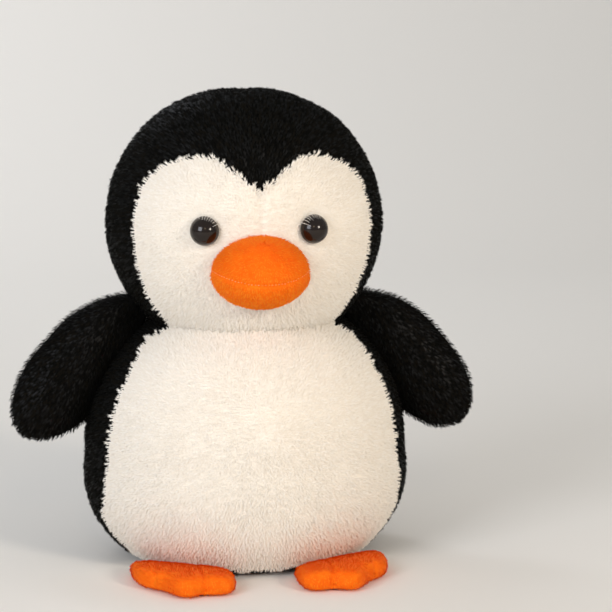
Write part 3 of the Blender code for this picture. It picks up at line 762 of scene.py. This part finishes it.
def flipper_form(sign, inset):
    """A stuffed leaf that thins towards its seam, runs on under the body's cloth and clears the cheek."""
    bm = bmesh.new()
    bmesh.ops.create_uvsphere(bm, u_segments=40, v_segments=32, radius=1)
    for corner in bm.verts:
        if corner.co.z < 0:
            # The root end is squarer than the tip, and keeps its thickness.
            corner.co.y /= max(math.sqrt(max(1 - corner.co.z**2, 0)), 0.4)
            across, along = abs(corner.co.x), abs(corner.co.z)
            power = ROOT_SQUARENESS
            square = (math.hypot(across, along) ** power / (across**power + along**power)) ** (1 / power)
            corner.co.x *= square
            corner.co.z *= square
        reach = (FLIPPER_TIP if corner.co.z > 0 else FLIPPER_ROOT + TUCK) - inset
        spot = FLIPPER_MIDDLE + HANG @ Vector(
            (corner.co.x * (FLIPPER_HALF_WIDTH - inset), 0, corner.co.z * reach)
        )
        away = (spot - ARMPIT).dot(AWAY)
        spot += AWAY * max(-TUCK - away, 0)
        share = min(max((away + TUCK) / (TUCK + TAPER_END), 0), 1)
        taper = ROOT_TAPER + (1 - ROOT_TAPER) * share * share * (3 - 2 * share)
        ceiling = CHEEK_LINE - CHEEK_LINE_FALL * max(spot.x - CHEEK_LINE_START, 0) ** 2
        under = min((ceiling - spot.z) / CHEEK_LINE_SOFTNESS, 60)  # 60 keeps exp() in range
        spot.z = ceiling - CHEEK_LINE_SOFTNESS * math.log(1 + math.exp(under))
        depth = corner.co.y * (FLIPPER_HALF_THICKNESS - inset) * taper
        corner.co = Vector((sign * spot.x, AXIS_Y + depth, spot.z))
    return bm


for side, sign in SIDES:
    flipper = new_piece(f"flipper_{side}_pad", flipper_form(sign, 0.0012), BLACK_BACKING)
    stuff(flipper, voxel=0.004, held=lambda place: from_seam(place) < 0.004, most=0.0015)
    lumps(flipper, size=0.022, depth=0.0009, seed=20.0 + sign)

    def flipper_field(place, normal):
        tip = HANG @ Vector((0, 0, 1))
        way = tangent(Vector((sign * tip.x, 0, tip.z)), normal)
        return (1.0 if from_seam(place) > -TUCK + 0.002 else 0.0), way * 1.1, 0.95

    patch = cut_patch(f"flipper_{side}_patch", flipper, lambda face: True, flipper_field)
    pile = grow_pile(f"flipper_{side}_pile", patch, BLACK_TUFTS, BLACK_SPACING, jitter=0.4, seed=40 + sign)
    for piece in (flipper, pile):
        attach(piece, f"flipper_{side}")
    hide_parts(*(f"flipper_{side}_{part}" for part in ("front", "back", "stuffing")))


# ---------------------------------------------------------------- eyes


def eye_form():
    """A polished dome on a short rim, turned about Z."""
    edge = math.acos(EYE_RADIUS / EYE_BALL)
    bm = bmesh.new()
    last = bm.verts.new((0, 0, EYE_DOME))
    line = []
    for step in range(1, 15):
        turn = math.pi / 2 + (edge - math.pi / 2) * step / 14
        corner = bm.verts.new(
            (EYE_BALL * math.cos(turn), 0, EYE_DOME - EYE_BALL + EYE_BALL * math.sin(turn))
        )
        line.append(bm.edges.new((last, corner)))
        last = corner
    rim = ((EYE_RADIUS + 0.0001, -0.0004), (EYE_RADIUS - 0.0003, -EYE_SINK), (0.0025, -EYE_SINK))
    for across, height in rim:
        corner = bm.verts.new((across, 0, height))
        line.append(bm.edges.new((last, corner)))
        last = corner
    geometry = list(bm.verts) + list(bm.edges)
    bmesh.ops.spin(
        bm, geom=geometry, cent=(0, 0, 0), axis=(0, 0, 1), angle=math.tau, steps=56, use_merge=True
    )
    bmesh.ops.remove_doubles(bm, verts=bm.verts, dist=1e-6)
    bmesh.ops.holes_fill(bm, edges=bm.edges, sides=0)
    return bm


def dome_height(across):
    return EYE_DOME - EYE_BALL + math.sqrt(EYE_BALL**2 - across**2)


def strand_fan(sign, count, width):
    """Single long fibres from the face, bent over an eye's inner upper rim."""
    bm = bmesh.new()
    for number in range(count):
        wobble = noise.noise(Vector((number * 2.3, sign, 0.5)))
        angle = math.radians(97 + 86 * (number + 0.4 * wobble) / count)
        out = Vector((sign * math.cos(angle), math.sin(angle), 0))
        aside = Vector((-out.y, out.x, 0)) * width / 2
        tip = EYE_RADIUS - 0.0021 - 0.0022 * wobble
        places = [
            out * (EYE_RADIUS + 0.0008) + Vector((0, 0, -0.001)),
            out * (EYE_RADIUS + 0.0002) + Vector((0, 0, 0.0026)),
            *(out * across + Vector((0, 0, dome_height(across) + 0.0003)) for across in (0.0080, tip)),
        ]
        ends = [bm.verts.new(places[0] + aside), bm.verts.new(places[0] - aside)]
        edge = bm.edges.new(ends)
        for place in places[1:]:
            raised = bmesh.ops.extrude_edge_only(bm, edges=[edge])["geom"]
            edge = next(part for part in raised if isinstance(part, bmesh.types.BMEdge))
            middle = (edge.verts[0].co + edge.verts[1].co) / 2
            for corner in edge.verts:
                corner.co = place + (corner.co - middle) * 0.72
        bmesh.ops.pointmerge(bm, verts=list(edge.verts), merge_co=places[-1])
    return bm


for side, sign in SIDES:
    x = sign * EYE_SPACING / 2
    step = 0.0005
    across = front_point(HEAD, x + step, EYE_HEIGHT) - front_point(HEAD, x - step, EYE_HEIGHT)
    upward = front_point(HEAD, x, EYE_HEIGHT + step) - front_point(HEAD, x, EYE_HEIGHT - step)
    turn = Vector((0, 0, 1)).rotation_difference(across.cross(upward).normalized())
    placing = Matrix.Translation(EYES[side]) @ turn.to_matrix().to_4x4()
    eye = new_piece(f"eye_{side}_dome", eye_form(), EYE_PLASTIC)
    eye.data.transform(placing)
    strands = new_piece(f"eye_{side}_strands", strand_fan(sign, count=8, width=0.00028), CREAM_PILE[1])
    strands.data.transform(placing)
    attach(strands, "head")
    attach(eye, "head")
    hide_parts(f"eye_{side}")
    washer = frame["nodes"][f"eye_washer_{side}"]
    washer.data.materials.clear()
    washer.data.materials.append(WASHER_PLASTIC)


# ---------------------------------------------------------------- beak


def beak_form(inset):
    """An egg-shaped beak, fuller above its mouth seam, that runs on into the head."""
    bm = bmesh.new()
    bmesh.ops.create_uvsphere(bm, u_segments=56, v_segments=40, radius=1)
    root = front_point(HEAD, 0, MOUTH).y + BEAK_ROOT
    for corner in bm.verts:
        rise = (BEAK_RISE if corner.co.z > 0 else BEAK_DROP) - inset
        narrow = 1 - 0.07 * max(-corner.co.z, 0)
        corner.co = Vector(
            (
                corner.co.x * (BEAK_WIDTH / 2 - inset) * narrow,
                root + corner.co.y * (BEAK_REACH + BEAK_ROOT - inset if corner.co.y < 0 else 0.008),
                MOUTH + corner.co.z * rise,
            )
        )
    return bm


NAP = dict(blades=3, length=0.0016, width=0.00028, spread=0.0009)
NAP_TUFTS = tuft_set("nap_tuft", ORANGE_NAP, **NAP)
BEAK_SEAM_DEPTH, BEAK_SEAM_WIDTH = 0.0009, 0.0014
BARE_SEAM = 0.0009  # no nap stands this near to the mouth seam


def mouth_height(x):
    return MOUTH - MOUTH_DIP + MOUTH_SMILE * (2 * x / BEAK_WIDTH) ** 2


beak = new_piece("beak_pad", beak_form(0.0003), ORANGE_VELOUR)
beak_root = front_point(HEAD, 0, MOUTH).y
stuff(beak, voxel=0.0028, held=lambda place: place.y > beak_root - 0.001, most=0.0006)
for point in beak.data.vertices:
    # The mouth seam draws the velour in.
    fade = max(1 - (2 * point.co.x / BEAK_WIDTH) ** 2, 0)
    seam = hump((point.co.z - mouth_height(point.co.x)) / BEAK_SEAM_WIDTH)
    point.co -= point.normal * BEAK_SEAM_DEPTH * fade * seam


def beak_field(place, normal):
    clear = abs(place.z - mouth_height(place.x)) > BARE_SEAM
    growth = 1.0 if place.y < beak_root + 0.002 and clear else 0.0
    return growth, tangent(Vector((0, 0.4, -1)), normal) * 1.2, 1.0


patch = cut_patch("beak_patch", beak, lambda face: True, beak_field)
beak_nap = grow_pile("beak_nap", patch, NAP_TUFTS, spacing=0.0007, jitter=0.5, seed=60)
for piece in (beak, beak_nap):
    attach(piece, "head")
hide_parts("beak_upper", "beak_lower", "beak_stuffing")


def stitch_row(name, surface, path, length, thickness, material):
    """Short sewing stitches along a path on a surface, one on every other stretch of it."""
    bm = bmesh.new()
    for number in range(0, len(path) - 1, 2):
        start, end = path[number], path[number + 1]
        middle, along = (start + end) / 2, (end - start).normalized()
        place, normal, _, _ = surface.find_nearest(middle)
        turn = Matrix((along, normal.cross(along), normal)).transposed().to_4x4()
        made = bmesh.ops.create_icosphere(bm, subdivisions=1, radius=1)["verts"]
        bmesh.ops.scale(bm, vec=(length / 2, thickness / 2, thickness / 2), verts=made)
        placing = Matrix.Translation(place + normal * thickness * 0.3) @ turn
        bmesh.ops.transform(bm, matrix=placing, verts=made)
    return new_piece(name, bm, material)


beak_surface = BVHTree.FromPolygons(
    [point.co.copy() for point in beak.data.vertices], [list(face.vertices) for face in beak.data.polygons]
)
MOUTH_STOPS = 84
MOUTH_START, MOUTH_SWEEP = -172, 164  # degrees round the beak, from one corner of the mouth to the other
mouth_path = []
for step in range(MOUTH_STOPS):
    turn = math.radians(MOUTH_START + MOUTH_SWEEP * step / (MOUTH_STOPS - 1))
    x = BEAK_WIDTH / 2 * math.cos(turn)
    y = beak_root + BEAK_ROOT + (BEAK_REACH + BEAK_ROOT) * math.sin(turn)
    mouth_path.append(Vector((x, y, mouth_height(x))))
stitches = stitch_row(
    "mouth_stitches", beak_surface, mouth_path, length=0.0010, thickness=0.0006, material=SEWING_THREAD
)
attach(stitches, "head")


# ---------------------------------------------------------------- feet

ROOT_INNER = Vector((FOOT_INNER, FOOT_LENGTH - FOOT_REACH - FOOT_SKEW, FOOT_ROOT_HEIGHT))
ROOT_OUTER = Vector((FOOT_INNER + FOOT_WIDTH, FOOT_LENGTH - FOOT_REACH, FOOT_ROOT_HEIGHT))
ROOT_SEAM = (ROOT_OUTER - ROOT_INNER).normalized()
TOEWARD = Vector((ROOT_SEAM.y, -ROOT_SEAM.x, 0))
# Each ring of the pillow: its share of the height, and its share of the outline.
LEVELS = (
    (0.00, 0.86), (0.10, 0.955), (0.30, 0.995), (0.50, 1.00), (0.72, 0.965), (0.90, 0.86), (1.00, 0.60),
)


def toe_spot(across, ahead):
    """A place on the foot from its shares of the foot's width and length."""
    return FOOT_INNER + across * FOOT_WIDTH, FOOT_LENGTH - FOOT_REACH - ahead * FOOT_LENGTH


def foot_top(spot):
    ahead = (spot - ROOT_INNER).dot(TOEWARD)
    return FOOT_ROOT_HEIGHT + (FOOT_HEIGHT - FOOT_ROOT_HEIGHT) * min(max(ahead / FOOT_RAMP, 0), 1)


def foot_form(sign, inset):
    """A pillow on the outline of three toes: its rings are bridged, and its caps are fans."""
    outline = [Vector((*toe_spot(*shares), 0)) for shares in FOOT_OUTLINE]
    centre = sum(outline, Vector()) / len(outline)
    bm = bmesh.new()
    loops = []
    for share, spread in LEVELS:
        corners = []
        for point in outline:
            arm = point - centre
            spot = centre + arm * (spread - inset / arm.length)
            height = inset + share * (foot_top(spot) - 2 * inset)
            corners.append(bm.verts.new((sign * spot.x, AXIS_Y + spot.y, height)))
        loops.append([bm.edges.new(pair) for pair in zip(corners, corners[1:] + corners[:1])])
    for lower, upper in zip(loops, loops[1:]):
        bmesh.ops.bridge_loops(bm, edges=lower + upper)
    caps = bmesh.ops.holes_fill(bm, edges=loops[0] + loops[-1], sides=0)["faces"]
    bmesh.ops.poke(bm, faces=caps)
    return bm


# Each crease runs back from the notch between two toes: its notch and its end, as shares, and its depth.
CREASES = (((0.33, 0.96), (0.36, 0.40), 0.0015), ((0.80, 0.72), (0.72, 0.36), 0.0005))
CREASE_WIDTH = 0.0015


def crease_depth(place, sign):
    spot = Vector((sign * place.x, place.y - AXIS_Y))
    deepest = 0.0
    for *ends, depth in CREASES:
        start, end = (Vector(toe_spot(*shares)) for shares in ends)
        along = end - start
        share = min(max((spot - start).dot(along) / along.length_squared, 0), 1)
        gap = (spot - start - along * share).length
        deepest = max(deepest, depth * (1 - 0.7 * share) * hump(gap / CREASE_WIDTH))
    return deepest


def sewn_foot(place):
    """A foot's cloth is held at its sole and at the thin root."""
    return place.z < 0.003 or foot_top(Vector((abs(place.x), place.y - AXIS_Y, 0))) < 0.009


for side, sign in SIDES:
    foot = new_piece(f"foot_{side}_pad", foot_form(sign, 0.0006), ORANGE_VELOUR)
    round_off = foot.modifiers.new("round", "SUBSURF")
    round_off.levels = 2
    round_off.render_levels = 2
    apply_modifiers(foot)
    stuff(foot, voxel=0.0022, held=sewn_foot, most=0.0008)
    for point in foot.data.vertices:
        if point.normal.z > -0.2:
            point.co -= point.normal * crease_depth(point.co, sign)
    for point in foot.data.vertices:
        point.co.z = max(point.co.z, SOLE_LOWEST)

    def foot_field(place, normal):
        return (1.0 if place.z > 0.0012 else 0.0), tangent(Vector((0, -1, -0.4)), normal) * 1.2, 1.0

    patch = cut_patch(f"foot_{side}_patch", foot, lambda face: True, foot_field)
    nap = grow_pile(f"foot_{side}_nap", patch, NAP_TUFTS, spacing=0.0008, jitter=0.5, seed=70 + sign)
    for piece in (foot, nap):
        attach(piece, f"foot_{side}")
    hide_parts(*(f"foot_{side}_{part}" for part in ("top", "sole", "stuffing")))


# ---------------------------------------------------------------- studio

for kit in (CREAM_TUFTS, BLACK_TUFTS, NAP_TUFTS):
    for item in list(kit.objects):
        bpy.data.objects.remove(item)
    bpy.data.collections.remove(kit)

FLOOR_REACH, FLOOR_STRETCH = 3, 4  # the floor is this many times wider than it is deep
SWEEP_START, SWEEP = 1.3, 1.2  # behind the penguin the floor curves up into a wall, at this radius
WALL_HEIGHT = 1.5

floor_sheet = bmesh.new()
bmesh.ops.create_grid(floor_sheet, x_segments=1, y_segments=1, size=FLOOR_REACH)
bmesh.ops.scale(floor_sheet, vec=(FLOOR_STRETCH, 1, 1), verts=floor_sheet.verts)
far_edge = [edge for edge in floor_sheet.edges if all(corner.co.y > 2.9 for corner in edge.verts)]
for corner in {corner for edge in far_edge for corner in edge.verts}:
    corner.co.y = SWEEP_START
for turn in range(1, 19):
    angle = math.radians(5 * turn)
    bend = bmesh.ops.extrude_edge_only(floor_sheet, edges=far_edge)["geom"]
    far_edge = [part for part in bend if isinstance(part, bmesh.types.BMEdge)]
    for corner in {corner for edge in far_edge for corner in edge.verts}:
        corner.co.y = SWEEP_START + SWEEP * math.sin(angle)
        corner.co.z = SWEEP * (1 - math.cos(angle))
wall = bmesh.ops.extrude_edge_only(floor_sheet, edges=far_edge)["geom"]
top = [part for part in wall if isinstance(part, bmesh.types.BMVert)]
bmesh.ops.translate(floor_sheet, vec=(0, 0, WALL_HEIGHT), verts=top)
floor = new_piece("studio_floor", floor_sheet, FLOOR_PAINT)
floor.data.shade_smooth()


def aim(item, target):
    item.rotation_euler = (Vector(target) - item.location).to_track_quat("-Z", "Y").to_euler()


def softbox(name, place, target, size, power, colour):
    lamp = bpy.data.lights.new(name, "AREA")
    lamp.shape = "RECTANGLE"
    lamp.size, lamp.size_y = size
    lamp.energy = power
    lamp.color = linear(colour)[:3]
    holder = bpy.data.objects.new(name, lamp)
    bpy.context.scene.collection.objects.link(holder)
    holder.location = place
    aim(holder, target)


MIDDLE = (0, 0, 0.15)
softbox("window_light", (-1.3, -1.3, 0.85), MIDDLE, (0.9, 0.9), 19.5, "#F4F7FF")
softbox("warm_lamp", (-0.15, -1.9, 1.1), MIDDLE, (0.25, 0.25), 1.5, "#FFE2B8")
softbox("fill_light", (1.1, -1.5, 0.8), MIDDLE, (0.35, 0.35), 14.5, "#FFF2E2")
softbox("rear_light", (-0.6, 1.3, 1.4), (0, 1.8, 0.2), (1.2, 0.6), 8, "#F2F6FF")

world = bpy.data.worlds.new("studio")
world.use_nodes = True
world.node_tree.nodes["Background"].inputs["Color"].default_value = linear("#E9ECEF")
world.node_tree.nodes["Background"].inputs["Strength"].default_value = 0.50
bpy.context.scene.world = world
bpy.context.scene.view_settings.view_transform = "Standard"

SWING = math.radians(-7.6)
CAMERA_DISTANCE, CAMERA_HEIGHT = 1.35, 0.370
AIM_ASIDE, AIM_HEIGHT = 0.0395, 0.160

lens = bpy.data.cameras.new("camera")
lens.lens = 124.7
camera = bpy.data.objects.new("camera", lens)
bpy.context.scene.collection.objects.link(camera)
camera.location = (
    math.sin(SWING) * CAMERA_DISTANCE, AXIS_Y - math.cos(SWING) * CAMERA_DISTANCE, CAMERA_HEIGHT
)
aim(camera, (math.cos(SWING) * AIM_ASIDE, AXIS_Y + math.sin(SWING) * AIM_ASIDE, AIM_HEIGHT))
bpy.context.scene.camera = camera
